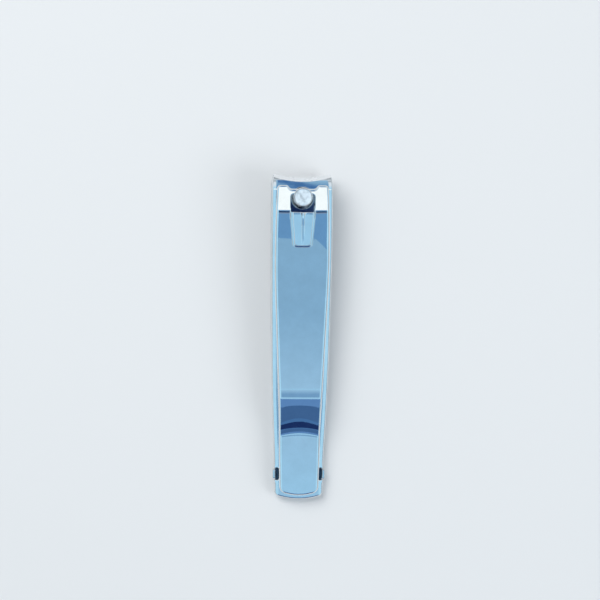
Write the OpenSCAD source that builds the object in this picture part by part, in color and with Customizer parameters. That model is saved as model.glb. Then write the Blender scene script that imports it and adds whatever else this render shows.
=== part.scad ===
// Large nail clipper with its lever folded flat along the top, as it is stored.
// +Y points to the cutting edges, +X runs across and +Z is up. Sizes are in millimetres.

/* [Body] */
// length from the rear end to the corners of the cutting edges
body_length = 82; // [74:1:90]
// width across the jaws
jaw_width = 15.2; // [14:0.1:17]
// thickness of the steel strip that each arm is bent from
arm_thickness = 1.5; // [1.3:0.05:1.8]
// space between the two arms at the pin
arm_space = 7.2; // [6.4:0.1:8]
// length at the rear where the upper arm lies flat on the lower one
flat_length = 9; // [7:0.5:11]
// gap between the two arms where they lie flat
arm_gap = 0.17; // [0.12:0.01:0.25]

/* [Cutting edges] */
// opening between the two cutting edges
mouth = 3; // [2.4:0.1:3.6]
// radius of the concave cutting edges, seen from above
edge_radius = 28; // [22:1:40]
// slope of the ground face above each edge, from the horizontal
bevel_slope = 72; // [66:1:78]
// radius of the bend from each arm into its lip
lip_bend = 4.8; // [4.2:0.1:5.6]

/* [Pin] */
// diameter of the pin's shank
pin_diameter = 4.8; // [4.4:0.1:5]
// diameter of the disc at the pin's foot
base_diameter = 6.6; // [6:0.1:7.5]
// thickness of the disc at the pin's foot
base_thickness = 1.1; // [0.8:0.1:1.5]
// distance from the pin's centre back from the edge corners
pin_setback = 5.8; // [5.6:0.1:6.4]
// height of the pin's head over the lever's cross bar
pin_head = 2.6; // [2.2:0.1:3]

/* [Lever] */
// thickness of the lever's plate
lever_thickness = 1.4; // [1.2:0.05:1.6]
// widest part of the lever
lever_width = 13.7; // [12.5:0.1:14]
// diameter of the cross bar that the pin's notch holds
bar_diameter = 1.6; // [1.4:0.05:1.8]
// height of the cross bar's axis over the upper arm
bar_height = 2; // [1.95:0.05:2.4]
// width of the window that the pin stands in
window_width = 6; // [5.8:0.1:6.6]
// height of the fulcrum's nose over the lever's face
fulcrum_height = 2.9; // [2.4:0.1:3]
// fall of the lever's main stretch towards the tail, in degrees
main_slope = 5.5; // [5:0.1:6]
// fall of the lever's tail, in degrees
tail_slope = 4; // [3:0.5:5]
// gap between the tail's end and the upper arm
tail_gap = 0.5; // [0.45:0.05:0.8]

/* [Rear joint] */
// diameter of the rear rivet's shank
rivet_diameter = 3; // [2.6:0.1:3.4]
// length of each side lug along the body
lug_length = 2.5; // [2:0.1:3]

/* [Hidden] */
$fn = 96;

front = body_length / 2;
rear = -front;
half = jaw_width / 2;

// Heights of the two arms: flat at the rear, and level again at the pin.
lower_front = base_thickness + 0.15;
upper_rear = arm_thickness + arm_gap;
upper_front = lower_front + arm_thickness + arm_space;
arm_top = upper_front + arm_thickness;
rear_top = upper_rear + arm_thickness;
lip_height = (arm_space + 2 * arm_thickness - mouth) / 2;
mouth_middle = (lower_front + arm_top) / 2;

// Cutting edges: arcs about an upright axis ahead of the jaws.
corner_half = half - 0.6;
edge_axis = front + sqrt(pow(edge_radius, 2) - pow(corner_half, 2));
edge_middle = edge_axis - edge_radius;

// The pin and the cross bar in its notch.
pin_y = front - pin_setback;
pin_radius = pin_diameter / 2;
bar_y = pin_y + 1.3;
bar_z = arm_top + bar_height;
notch = bar_diameter + 0.2;
hole_drift = 0.15;
upper_hole = pin_radius + hole_drift + 0.13;

// The rear joint.
rivet_y = rear + flat_length - 1;
lug_y = rear + 6.4;
lug_out = half - 1;

// Half width of the arms, as shares of the jaws' half width, against shares of the length.
body_shape = [[0.04, 0.8], [0.13, 0.825], [0.25, 0.885], [0.38, 0.935], [0.5, 0.962],
              [0.65, 0.985], [0.8, 1], [0.975, 1], [1, 0.925]];
// Half width of the lever, as shares of its widest part, against shares of its length.
lever_shape = [[0.04, 0.725], [0.13, 0.75], [0.25, 0.77], [0.42, 0.855], [0.56, 0.925],
               [0.7, 0.988], [0.82, 1], [0.94, 0.965], [1, 0.935]];

lever_front = bar_y + 1.7;
lever_end = rear + 1.1;
lever_length = lever_front - lever_end;
ear_slope = 3;
ear_bend = 31.8 - 36.5 + bar_y;
window_rear = bar_y - 5;
// The lever steps down to its tail between these two places.
step_front = lever_end + 24.6;
step_rear = lever_end + 14.5;
lever_half = lever_thickness / 2;

// Smooth curve through a shape's points, evaluated at one share of the length.
function slope_at(shape, i) =
    i == 0 ? (shape[1][1] - shape[0][1]) / (shape[1][0] - shape[0][0]) :
    i == len(shape) - 1 ? (shape[i][1] - shape[i - 1][1]) / (shape[i][0] - shape[i - 1][0]) :
    (shape[i + 1][1] - shape[i - 1][1]) / (shape[i + 1][0] - shape[i - 1][0]);
function stretch(shape, at, i = 0) =
    i >= len(shape) - 2 || at <= shape[i + 1][0] ? i : stretch(shape, at, i + 1);
function share(shape, at) =
    let (i = stretch(shape, at),
         run = shape[i + 1][0] - shape[i][0],
         t = (at - shape[i][0]) / run,
         a = slope_at(shape, i) * run,
         b = slope_at(shape, i + 1) * run)
    shape[i][1] * (2 * t * t * t - 3 * t * t + 1) + a * (t * t * t - 2 * t * t + t)
    + shape[i + 1][1] * (3 * t * t - 2 * t * t * t) + b * (t * t * t - t * t);

// Slope of the straight between two bends that together drop by `drop` over `run`.
// `bends` holds the bends' radii; the slopes before and after are `before` and `after`.
function steepest(run, drop, bends, before = 0, after = 0) =
    let (across = run + bends[0] * sin(before) + bends[1] * sin(after),
         down = drop - bends[0] * cos(before) - bends[1] * cos(after))
    atan2(down, across) + asin((bends[0] + bends[1]) / norm([across, down]));
function straight(run, drop, bends, before = 0, after = 0) =
    let (across = run + bends[0] * sin(before) + bends[1] * sin(after),
         down = drop - bends[0] * cos(before) - bends[1] * cos(after),
         steep = steepest(run, drop, bends, before, after))
    across * cos(steep) + down * sin(steep);

// Walks along a bent strip from [along, up, heading]. Each step is [length, turn].
function arc_length(radius, turn) = radius * abs(turn) * PI / 180;
function short_steps(steps) =
    [for (s = steps) let (n = max(1, ceil(abs(s[1]) / 2.5))) for (k = [1:n]) [s[0] / n, s[1] / n]];
function chord(length, turn) =
    turn == 0 ? length : length * sin(turn / 2) / (turn / 2 * PI / 180);
function next_point(here, s) =
    let (c = chord(s[0], s[1]), way = here[2] + s[1] / 2)
    [here[0] + c * cos(way), here[1] + c * sin(way), here[2] + s[1]];
function walk(here, steps, i = 0) =
    let (all = i == 0 ? short_steps(steps) : steps)
    i == len(all) ? [here] : concat([here], walk(next_point(here, all[i]), all, i + 1));
function ribbon(path, thickness) = concat(
    [for (p = path) [p[0] - thickness / 2 * sin(p[2]), p[1] + thickness / 2 * cos(p[2])]],
    [for (i = [len(path) - 1:-1:0])
        let (p = path[i]) [p[0] + thickness / 2 * sin(p[2]), p[1] - thickness / 2 * cos(p[2])]]);

// Rounds the corners of a polygon. Each corner is [x, y, radius].
function toward(a, b) = (b - a) / norm(b - a);
function spot(corner) = [corner[0], corner[1]];
function corner_arc(before, corner, after, radius) =
    let (u = toward(corner, before), v = toward(corner, after),
         inside = acos(u * v),
         centre = corner + toward([0, 0], u + v) * radius / sin(inside / 2),
         reach = radius / tan(inside / 2),
         first = corner + u * reach - centre,
         last = corner + v * reach - centre,
         from = atan2(first[1], first[0]),
         turn = atan2(first[0] * last[1] - first[1] * last[0], first * last),
         n = 6)
    [for (k = [0:n]) centre + radius * [cos(from + turn * k / n), sin(from + turn * k / n)]];
function rounded(corners) =
    let (n = len(corners))
    [for (i = [0:n - 1])
        let (c = corners[i], points = c[2] == undef || c[2] == 0 ? [spot(c)] :
             corner_arc(spot(corners[(i + n - 1) % n]), spot(c), spot(corners[(i + 1) % n]), c[2]))
        for (p = points) p];
function mirrored(points, middle = []) =
    concat(points, middle,
           [for (i = [len(points) - 1:-1:0]) [-points[i][0], points[i][1], points[i][2]]]);

// Draws a side view, given as [along, up] points, across the part.
module across(points, width) {
    rotate([90, 0, 90])
        linear_extrude(height = width, center = true)
            polygon(points);
}

module upright(points, low, high) {
    translate([0, 0, low])
        linear_extrude(height = high - low)
            polygon(points);
}

// Plan of both arms, with a bowed rear end.
rear_corner = half * body_shape[0][1];
rear_bow = 1.1;
rear_radius = (pow(rear_corner, 2) + pow(rear_bow, 2)) / (2 * rear_bow);
body_side = [for (k = [0:28]) let (at = 1 - k * 0.96 / 28)
    [half * share(body_shape, at), rear + body_length * at, 0]];
body_rear = [for (k = [0:2]) let (x = rear_corner * (0.72 - 0.24 * k))
    [x, rear + rear_radius - sqrt(pow(rear_radius, 2) - pow(x, 2)), 0]];
body_plan = rounded(mirrored(
    concat(body_side, [[rear_corner, rear + rear_bow, 1.2]], body_rear), [[0, rear, 0]]));

// Side view of one arm's strip, from the rear end to where its lip bends.
lip_start = edge_middle - 3.15;
function arm_path(low, rise, flat, first_bend, second_bend) =
    let (run = lip_start - 5.9 - (rear + flat),
         steep = steepest(run, rise, [first_bend, second_bend]),
         middle = straight(run, rise, [first_bend, second_bend]))
    walk([rear - 0.5, low + arm_thickness / 2, 0],
         [[flat + 0.5, 0], [arc_length(first_bend, steep), steep], [middle, 0],
          [arc_length(second_bend, steep), -steep], [5.9, 0]]);

// The bend and the lip of the upper jaw, filled in down to its edge.
lip_swing = asin(min(1, (front + 0.2 - lip_start) / lip_bend));
lip_profile = concat(
    [[lip_start - 0.01, arm_top - arm_thickness], [lip_start - 0.01, arm_top]],
    [for (k = [0:8]) let (turn = lip_swing * k / 8)
        [lip_start + lip_bend * sin(turn), arm_top - lip_bend * (1 - cos(turn))]],
    [[front + 0.2, arm_top - lip_height], [lip_start + 0.6, arm_top - lip_height],
     [lip_start + 0.6, arm_top - arm_thickness]]);

// What grinding takes off: ahead of the edge, and behind it under the arm.
edge_z = arm_top - lip_height;
inner_rise = lip_height - arm_thickness;
ahead_of_edge = [[edge_radius - 4, edge_z - 1], [edge_radius - 1 / tan(bevel_slope), edge_z - 1],
                 [edge_radius + (lip_height + 1) / tan(bevel_slope), arm_top + 1],
                 [edge_radius - 4, arm_top + 1]];
behind_edge = [[edge_radius + 0.12, edge_z - 1], [edge_radius + 0.12, edge_z],
               [edge_radius + inner_rise - 0.3, edge_z + inner_rise - 0.42],
               [edge_radius + inner_rise + 0.05, edge_z + inner_rise - 0.12],
               [edge_radius + inner_rise + 0.6, edge_z + inner_rise],
               [edge_radius + 4, edge_z + inner_rise], [edge_radius + 4, edge_z - 1]];

module ground_off(profile) {
    translate([0, edge_axis, 0])
        rotate_extrude($fn = 360)
            polygon(profile);
}

module lip() {
    difference() {
        across(lip_profile, jaw_width);
        ground_off(ahead_of_edge);
        ground_off(behind_edge);
    }
}

// Profile of the rivet from its countersunk foot to its flat head.
rivet_radius = rivet_diameter / 2;
rivet_foot = [[0, 0], [rivet_radius + 0.8, 0], [rivet_radius, 0.8]];
head_radius = rivet_radius + 0.75;

module rear_rivet() {
    color("silver")
        translate([0, rivet_y, 0])
            rotate_extrude()
                polygon(concat(rivet_foot, [[rivet_radius, rear_top - 0.5],
                    [head_radius, rear_top - 0.5], [head_radius, rear_top - 0.06],
                    [head_radius - 0.06, rear_top], [0, rear_top]]));
}

// One side lug in the view from the rear: a tab that rises from the lower arm.
lug_profile = rounded([[lug_out - 1.4, 0], [lug_out, 0, 0.7], [lug_out, rear_top + 0.2, 0.3],
                       [lug_out - 0.75, rear_top + 0.2, 0.2], [lug_out - 0.75, arm_thickness],
                       [lug_out - 1.4, arm_thickness]]);

module lug() {
    translate([0, lug_y + lug_length / 2, 0])
        rotate([90, 0, 0])
            linear_extrude(height = lug_length)
                polygon(lug_profile);
}

module lower_jaw() {
    color("silver")
        difference() {
            union() {
                intersection() {
                    union() {
                        across(ribbon(arm_path(0, lower_front, flat_length + 8, 60, 60),
                                      arm_thickness), jaw_width);
                        translate([0, 0, 2 * mouth_middle])
                            mirror([0, 0, 1])
                                lip();
                    }
                    upright(body_plan, -1, arm_top);
                }
                lug();
                mirror([1, 0, 0])
                    lug();
            }
            translate([0, pin_y, -1])
                cylinder(r = pin_radius + 0.08, h = 8);
            translate([0, rivet_y, 0])
                rotate_extrude()
                    polygon(concat([[0, -1], [rivet_radius + 0.8, -1]],
                                   [for (k = [1:2]) rivet_foot[k]],
                                   [[rivet_radius, 4], [0, 4]]));
        }
}

module upper_jaw() {
    color("silver")
        difference() {
            intersection() {
                union() {
                    across(ribbon(arm_path(upper_rear, upper_front - upper_rear,
                                           flat_length, 40, 80), arm_thickness), jaw_width);
                    lip();
                }
                upright(body_plan, 0, arm_top + 1);
            }
            translate([0, pin_y - hole_drift, upper_front - 2])
                cylinder(r = upper_hole, h = 6);
            translate([0, rivet_y, 0])
                cylinder(r = rivet_radius + 0.2, h = 8);
            translate([0, rivet_y, rear_top - 0.73])
                cylinder(r = head_radius + 0.2, h = 2);
            for (side = [-1, 1])
                translate([side * (lug_out - 0.5), lug_y, rear_top])
                    cube([2, lug_length + 0.4, 4], center = true);
        }
}

// Side view of the lever, walked from the front of its ears to the tail's end.
ear_path = [[lever_front - ear_bend - 0.3, 0],
            [arc_length(4, main_slope + ear_slope), main_slope + ear_slope]];
ear_start = [lever_front, bar_z - 1.7 * tan(ear_slope), 180 - ear_slope];
ear_last = walk(ear_start, ear_path)[len(walk(ear_start, ear_path)) - 1];
main_length = (ear_last[0] - step_front) / cos(main_slope);
tail_length = (step_rear - lever_end) / cos(tail_slope);
step_drop = ear_last[1] - main_length * sin(main_slope)
    - (rear_top + tail_gap + lever_half + tail_length * sin(tail_slope));
step_run = step_front - step_rear;
// The step's two bends nearly meet: their radii add up to 95% of what fits between its ends.
step_tilt = (main_slope + tail_slope) / 2;
step_widest = step_run / (sin(2 * atan(step_drop / step_run) - step_tilt) - sin(step_tilt));
step_bends = 0.95 * step_widest * [0.68, 0.32];
step_steep = steepest(step_run, step_drop, step_bends, main_slope, tail_slope);
step_middle = straight(step_run, step_drop, step_bends, main_slope, tail_slope);
lever_path = walk(ear_start, concat(ear_path, [
    [main_length, 0],
    [arc_length(step_bends[0], step_steep - main_slope), step_steep - main_slope],
    [step_middle, 0],
    [arc_length(step_bends[1], step_steep - tail_slope), tail_slope - step_steep],
    [tail_length, 0]]));

lever_side = [for (k = [0:28]) let (at = 1 - k * 0.96 / 28)
    [lever_width / 2 * share(lever_shape, at), lever_end + lever_length * at,
     k == 0 ? 0.8 : 0]];
tail_half = lever_width / 2 * lever_shape[0][1];
window_half = window_width / 2;
// The front of the plate dips between the ears, down to the cross bar.
dip = [[0, bar_y, 0], [window_half, bar_y, 0], [window_half + 0.15, bar_y + 0.75, 0],
       [window_half + 0.45, bar_y + 1.25, 0], [window_half + 1.1, lever_front, 0.8]];
lever_plan = rounded(mirrored(
    concat(dip, lever_side, [[tail_half - 0.05, lever_end + 0.85, 1.9],
                             [2.4, lever_end + 0.25, 0], [1.2, lever_end + 0.06, 0]]),
    [[0, lever_end, 0]]));

// The fulcrum: a ramp pressed up from the plate, with a sharp valley along its middle.
face_rear = ear_last[1] + lever_half;
function face_at(y) = face_rear - (ear_last[0] - y) * tan(main_slope);
ramp_end = window_rear - 8.7;
ramp_step = 1.35;
nose = face_at(window_rear) + fulcrum_height;
ramp_profile = rounded([[window_rear, face_at(window_rear) - 1, 0], [window_rear, nose, 0.45],
                        [window_rear - 1.3, nose - 0.18, 0.8],
                        [ramp_end, face_at(ramp_end) + ramp_step, 0],
                        [ramp_end, face_at(ramp_end) - 0.6, 0]]);
ramp_plan = rounded(mirrored([[window_half + 0.08, window_rear, 0],
                              [window_half + 0.04, window_rear - 3.5, 0],
                              [window_half - 0.25, ramp_end, 1.3]]));
valley_depth = 1.5;
valley_length = 6.6;
ramp_fall = atan2(nose - 0.18 - face_at(ramp_end) - ramp_step, window_rear - 1.3 - ramp_end);
valley_tilt = ramp_fall - atan2(valley_depth, valley_length);

module ramp() {
    difference() {
        intersection() {
            across(ramp_profile, window_width + 2);
            upright(ramp_plan, 0, nose + 1);
        }
        translate([0, window_rear, nose + 0.1 - valley_depth])
            rotate([90 - valley_tilt, 0, 0])
                translate([0, 0, -2])
                    linear_extrude(height = 14)
                        polygon([[0, 0], [1.35, 3], [-1.35, 3]]);
    }
}

// The hollow that pressing leaves under the fulcrum.
hollow_profile = [[window_rear + 1, face_at(window_rear) + 0.3],
                  [window_rear, face_at(window_rear) + 0.3],
                  [ramp_end + 2, face_at(ramp_end) - lever_thickness + 0.15],
                  [ramp_end + 1, face_at(ramp_end) - lever_thickness - 1],
                  [window_rear + 1, face_at(window_rear) - lever_thickness - 1]];

module lever() {
    color("silver")
        union() {
            difference() {
                intersection() {
                    across(ribbon(lever_path, lever_thickness), lever_width + 1);
                    upright(lever_plan, 0, nose + 1);
                }
                translate([-window_half, window_rear, bar_z - 5])
                    cube([window_width, 5 + bar_y, 10]);
                across(hollow_profile, 3.4);
            }
            ramp_with_hollow();
            translate([0, bar_y, bar_z])
                rotate([0, 90, 0])
                    cylinder(d = bar_diameter, h = window_width + 0.6, center = true);
        }
}

module ramp_with_hollow() {
    difference() {
        ramp();
        across(hollow_profile, 3.4);
    }
}

head_top = bar_z + pin_head;

module pin() {
    color("silver")
        difference() {
            translate([0, pin_y, 0])
                rotate_extrude()
                    polygon([[0, 0], [base_diameter / 2 - 0.25, 0], [base_diameter / 2, 0.25],
                             [base_diameter / 2, base_thickness - 0.15],
                             [base_diameter / 2 - 0.15, base_thickness],
                             [pin_radius, base_thickness], [pin_radius, head_top - 0.7],
                             [pin_radius - 0.5, head_top - 0.08],
                             [pin_radius - 0.75, head_top], [0, head_top]]);
            translate([0, bar_y, bar_z])
                rotate([0, 90, 0])
                    cylinder(d = notch, h = 10, center = true);
            translate([-5, bar_y, bar_z - notch / 2])
                cube([10, 10, notch]);
        }
}

lower_jaw();
upper_jaw();
lever();
pin();
rear_rivet();
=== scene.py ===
"""A polished steel nail clipper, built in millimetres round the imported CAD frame."""

import math

import bmesh
import bpy
import numpy as np
from mathutils import Matrix, Vector
from mathutils.geometry import delaunay_2d_cdt
from mathutils.kdtree import KDTree


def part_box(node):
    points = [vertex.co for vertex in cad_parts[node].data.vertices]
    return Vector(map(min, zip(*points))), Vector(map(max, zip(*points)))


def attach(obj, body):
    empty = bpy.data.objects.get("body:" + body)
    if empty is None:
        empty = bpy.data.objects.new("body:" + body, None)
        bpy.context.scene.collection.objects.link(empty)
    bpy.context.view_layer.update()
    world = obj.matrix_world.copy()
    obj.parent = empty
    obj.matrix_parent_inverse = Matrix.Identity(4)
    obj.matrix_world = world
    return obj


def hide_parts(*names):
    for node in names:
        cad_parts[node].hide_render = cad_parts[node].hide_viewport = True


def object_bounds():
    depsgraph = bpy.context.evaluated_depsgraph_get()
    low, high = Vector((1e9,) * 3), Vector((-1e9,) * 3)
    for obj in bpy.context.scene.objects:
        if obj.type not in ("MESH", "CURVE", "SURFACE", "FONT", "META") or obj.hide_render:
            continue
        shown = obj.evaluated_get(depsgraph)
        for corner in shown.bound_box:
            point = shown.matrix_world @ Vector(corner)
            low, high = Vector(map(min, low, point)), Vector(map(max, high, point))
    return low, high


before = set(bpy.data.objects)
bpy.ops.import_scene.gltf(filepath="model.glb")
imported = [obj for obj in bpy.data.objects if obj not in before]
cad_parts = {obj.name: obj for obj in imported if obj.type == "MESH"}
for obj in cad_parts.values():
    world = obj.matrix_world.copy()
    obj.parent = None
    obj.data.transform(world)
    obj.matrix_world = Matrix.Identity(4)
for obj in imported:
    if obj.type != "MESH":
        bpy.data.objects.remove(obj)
cad_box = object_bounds()
MM = 0.001


def millimetres(point):
    return np.array(point) / MM


# ---------------------------------------------------------------- sizes, in millimetres
# +Y runs from the clamped rear end to the jaws, and +Z up from the floor. Slopes are in degrees.

upper_box = [millimetres(c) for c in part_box("upper_jaw")]
lever_box = [millimetres(c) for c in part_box("lever")]
pin_box = [millimetres(c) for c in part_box("pin")]
rivet_box = [millimetres(c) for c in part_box("rear_rivet")]

# The least that a plate keeps between its faces at a rounded edge.
THINNEST = 0.04

# The arms.
REAR, FRONT = upper_box[0][1], upper_box[1][1]
LENGTH = FRONT - REAR
HALF = upper_box[1][0]
ARM = 1.5
ARM_TOP = upper_box[1][2]
ARM_GAP = 0.17
LOWER_FRONT = 1.25
UPPER_REAR = ARM + ARM_GAP
UPPER_FRONT = ARM_TOP - ARM
REAR_TOP = UPPER_REAR + ARM
FLAT = 9.0
LIP_HEIGHT = 3.6
LIP_DEPTH = LIP_HEIGHT - 0.05
EDGE_RADIUS = 28.0
BEVEL = math.tan(math.radians(72))
LIP_BEND = 4.8
EDGE_AXIS = FRONT + math.sqrt(EDGE_RADIUS**2 - (HALF - 0.6) ** 2)
EDGE_MIDDLE = EDGE_AXIS - EDGE_RADIUS
LIP_START = EDGE_MIDDLE - 3.15
LIP_LEAD = 5.9
ARM_ROLL_WIDTH = 1.38
REAR_ROLL = 0.062

# The pin, the rivet and the lugs.
PIN_Y = (pin_box[0][1] + pin_box[1][1]) / 2
PIN_R = 2.4
PIN_TOP = pin_box[1][2]
BAR_Y = PIN_Y + 1.3
BAR_Z = PIN_TOP - 2.6
NOTCH_R = 0.9
FOOT_R, FOOT_T, FOOT_EDGE = 3.3, 1.1, 0.25
WORN_R, END_Z = 2.05, PIN_TOP - 0.08
RIVET_Y = (rivet_box[0][1] + rivet_box[1][1]) / 2
SHANK_R, HEAD_R, HEAD_T = 1.5, 2.25, 0.5
WELL_R, WELL_DEPTH = 2.45, 0.73
SEAT_R, SEAT_DEPTH = 2.3, 0.8
LUG_Y = REAR + 6.4
LUG_HALF = 1.25
LUG_T = 0.74

# The lever.
LEVER_T = 1.4
LEVER_HALF = 6.85
LEVER_END, LEVER_FRONT = lever_box[0][1], lever_box[1][1]
LEVER_LENGTH = LEVER_FRONT - LEVER_END
MAIN_SLOPE, EAR_SLOPE = 5.5, 3.0
EAR_BEND_R = 8
EAR_BEND = BAR_Y - 4.7
WINDOW_REAR = BAR_Y - 5.0
WINDOW_HALF = 3.0
STEP_FRONT, STEP_REAR = LEVER_END + 27.45, LEVER_END + 14.7
CREASE_Y = LEVER_END + 25.2
# Bends of the lever, from the crease to the tail, as (radius, turn in degrees).
CREASE_TURNS = [(6, 2.0), (40, 3.0), (7, 3.0)]
STEP_TURNS = [(31, 2.9), (25, 8.4), (28.5, 4.5), (6.5, -13.3), (8, -12.0)]
RAMP_LENGTH = 8.7
RAMP_END = WINDOW_REAR - RAMP_LENGTH
RAMP_STEP, FULCRUM = 1.07, 2.9
RAMP_HALF_REAR, RAMP_HALF_FRONT, RAMP_CORNER = 2.45, 3.0, 1.4
LEVER_SETBACK = 0.07
CROWN, CROWN_HALF = 0.06, 6.5
ROLL, ROLL_WIDTH = 0.14, 0.78
BULGE_Y, BULGE, BULGE_LENGTH = 25.2, 0.11, 4.0
ARCH = 0.024

# Half widths along the arms and the lever, as (share of the length, share of the half width).
BODY_SHAPE = [
    (0.04, 0.8),
    (0.13, 0.825),
    (0.25, 0.885),
    (0.38, 0.935),
    (0.5, 0.962),
    (0.65, 0.985),
    (0.8, 1.0),
    (0.975, 1.0),
    (1.0, 0.925),
]
LEVER_SHAPE = [
    (0.04, 0.725),
    (0.13, 0.75),
    (0.25, 0.77),
    (0.42, 0.855),
    (0.56, 0.925),
    (0.7, 0.988),
    (0.82, 1.0),
    (0.94, 0.965),
    (1.0, 0.935),
]


# ---------------------------------------------------------------- curves


def share(shape, at):
    """A smooth curve through the shape's points, read at one share of the length."""
    i = 0
    while i < len(shape) - 2 and at > shape[i + 1][0]:
        i += 1

    def slope(j):
        first, last = max(j - 1, 0), min(j + 1, len(shape) - 1)
        return (shape[last][1] - shape[first][1]) / (shape[last][0] - shape[first][0])

    run = shape[i + 1][0] - shape[i][0]
    t = (at - shape[i][0]) / run
    rise_a, rise_b = slope(i) * run, slope(i + 1) * run
    value = shape[i][1] * (2 * t**3 - 3 * t**2 + 1) + rise_a * (t**3 - 2 * t**2 + t)
    value += shape[i + 1][1] * (3 * t**2 - 2 * t**3) + rise_b * (t**3 - t**2)
    return min(1.0, value)


def walk(start, steps):
    """[along, up, heading] at most 0.05 mm apart on a bent strip. A step is (length, turn in degrees)."""
    along, up, heading = start
    points = [(along, up, heading)]
    for length, turn in steps:
        n = max(1, math.ceil(length / 0.05))
        for _ in range(n):
            way = math.radians(heading + turn / n / 2)
            along += length / n * math.cos(way)
            up += length / n * math.sin(way)
            heading += turn / n
            points.append((along, up, heading))
    return np.array(points)


def faces_of(path, thickness):
    """The upper and lower faces of a bent strip, as functions of the place along it."""
    heading = np.radians(path[:, 2])
    shift = np.column_stack([-np.sin(heading), np.cos(heading)]) * thickness / 2
    lines = [path[:, :2] + shift, path[:, :2] - shift]
    lines = [line[np.argsort(line[:, 0])] for line in lines]
    lines.sort(key=lambda line: -line[:, 1].mean())
    return [lambda y, line=line: np.interp(y, line[:, 0], line[:, 1]) for line in lines]


def step_between(run, drop, bends):
    """The slope and the straight length between two opposite bends of these radii."""
    down = drop - sum(bends)
    steep = math.atan2(down, run) + math.asin(sum(bends) / math.hypot(run, down))
    return math.degrees(steep), run * math.cos(steep) + down * math.sin(steep)


def arc(radius, turn):
    return radius * math.radians(abs(turn))


def arm_path(low, rise, flat, first_bend, second_bend):
    """The middle line of an arm: flat at the rear, rising, and level again up to the front."""
    run = LIP_START - LIP_LEAD - (REAR + flat)
    steep, middle = step_between(run, rise, (first_bend, second_bend))
    steps = [
        (flat + 0.5, 0),
        (arc(first_bend, steep), steep),
        (middle, 0),
        (arc(second_bend, steep), -steep),
        (12, 0),
    ]
    return walk((REAR - 0.5, low + ARM / 2, 0), steps)


def lever_path():
    """From the ears to the tail: a long straight, a crease, and a step of several bends."""
    steps = [
        (LEVER_FRONT - EAR_BEND - 0.3, 0),
        (arc(EAR_BEND_R, MAIN_SLOPE + EAR_SLOPE), MAIN_SLOPE + EAR_SLOPE),
    ]
    start = (LEVER_FRONT, BAR_Z - 1.7 * math.tan(math.radians(EAR_SLOPE)), 180 - EAR_SLOPE)
    last = walk(start, steps)[-1]
    main = (last[0] - STEP_FRONT) / math.cos(math.radians(MAIN_SLOPE))
    steps.append((main, 0))
    steps += [(arc(radius, turn), turn) for radius, turn in CREASE_TURNS + STEP_TURNS]
    path = walk(start, steps)
    along, up, heading = path[-1]
    tail = walk((along, up, heading), [(along - LEVER_END + 1, 0)])
    return np.vstack([path, tail[1:]])


# ---------------------------------------------------------------- outlines


def rounded(corners):
    """A closed outline from (x, y, radius) corners, with an arc at each that has a radius."""
    points = []
    for i, (x, y, radius) in enumerate(corners):
        here = np.array([x, y])
        if not radius:
            points.append(here)
            continue
        before = np.array(corners[i - 1][:2]) - here
        after = np.array(corners[(i + 1) % len(corners)][:2]) - here
        before, after = before / np.linalg.norm(before), after / np.linalg.norm(after)
        opening = math.acos(max(-1, min(1, before @ after)))
        middle = (before + after) / np.linalg.norm(before + after)
        centre = here + middle * radius / math.sin(opening / 2)
        reach = radius / math.tan(opening / 2)
        first, last = here + before * reach - centre, here + after * reach - centre
        start = math.atan2(first[1], first[0])
        turn = math.atan2(first[0] * last[1] - first[1] * last[0], first @ last)
        n = max(4, math.ceil(abs(turn) / math.radians(6)))
        for k in range(n + 1):
            angle = start + turn * k / n
            points.append(centre + radius * np.array([math.cos(angle), math.sin(angle)]))
    return np.array(points)


def both_sides(right):
    """A whole outline from its right side, listed from the rear to the front."""
    left = [(-x, y, r) for x, y, r in reversed(right) if abs(x) > 1e-9]
    return right + left


def resample(points, spacing):
    """The same closed outline with its points evenly spaced."""
    closed = np.vstack([points, points[:1]])
    along = np.concatenate([[0], np.cumsum(np.linalg.norm(np.diff(closed, axis=0), axis=1))])
    at = np.linspace(0, along[-1], round(along[-1] / spacing), endpoint=False)
    return np.column_stack([np.interp(at, along, closed[:, k]) for k in (0, 1)])


def circle(x, y, radius, n):
    """A hole's outline: it runs clockwise, so that the metal lies on its left."""
    angle = -np.linspace(0, 2 * math.pi, n, endpoint=False)
    return np.column_stack([x + radius * np.cos(angle), y + radius * np.sin(angle)])


def body_outline(notched):
    corner = HALF * BODY_SHAPE[0][1]
    bow = 1.1
    radius = (corner**2 + bow**2) / (2 * bow)
    right = []
    for x in np.linspace(0, corner * 0.72, 6):
        right.append((x, REAR + radius - math.sqrt(radius**2 - x**2), 0))
    right.append((corner, REAR + bow, 1.2))
    cut = [LUG_Y - LUG_HALF - 0.2, LUG_Y + LUG_HALF + 0.2]
    notch_done = not notched
    for at in np.linspace(0.04, 1.0, 90):
        y, half = REAR + LENGTH * at, HALF * share(BODY_SHAPE, at)
        if notched and cut[0] - 0.3 < y < cut[1] + 0.3:
            continue
        if y > cut[1] and not notch_done:
            notch_done = True
            width = HALF * share(BODY_SHAPE, (LUG_Y - REAR) / LENGTH)
            inner = HALF - 2.5
            right += [(width, cut[0], 0.25), (inner, cut[0], 0.35)]
            right += [(inner, cut[1], 0.35), (width, cut[1], 0.25)]
        right.append((half, y, 0))
    half = right[-1][0]
    right[-1] = (half, EDGE_AXIS - math.sqrt(EDGE_RADIUS**2 - half**2), 0.12)
    for x in np.linspace(half, 0, 24)[1:]:
        right.append((x, EDGE_AXIS - math.sqrt(EDGE_RADIUS**2 - x**2), 0))
    return resample(rounded(both_sides(right)), 0.14)


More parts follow.
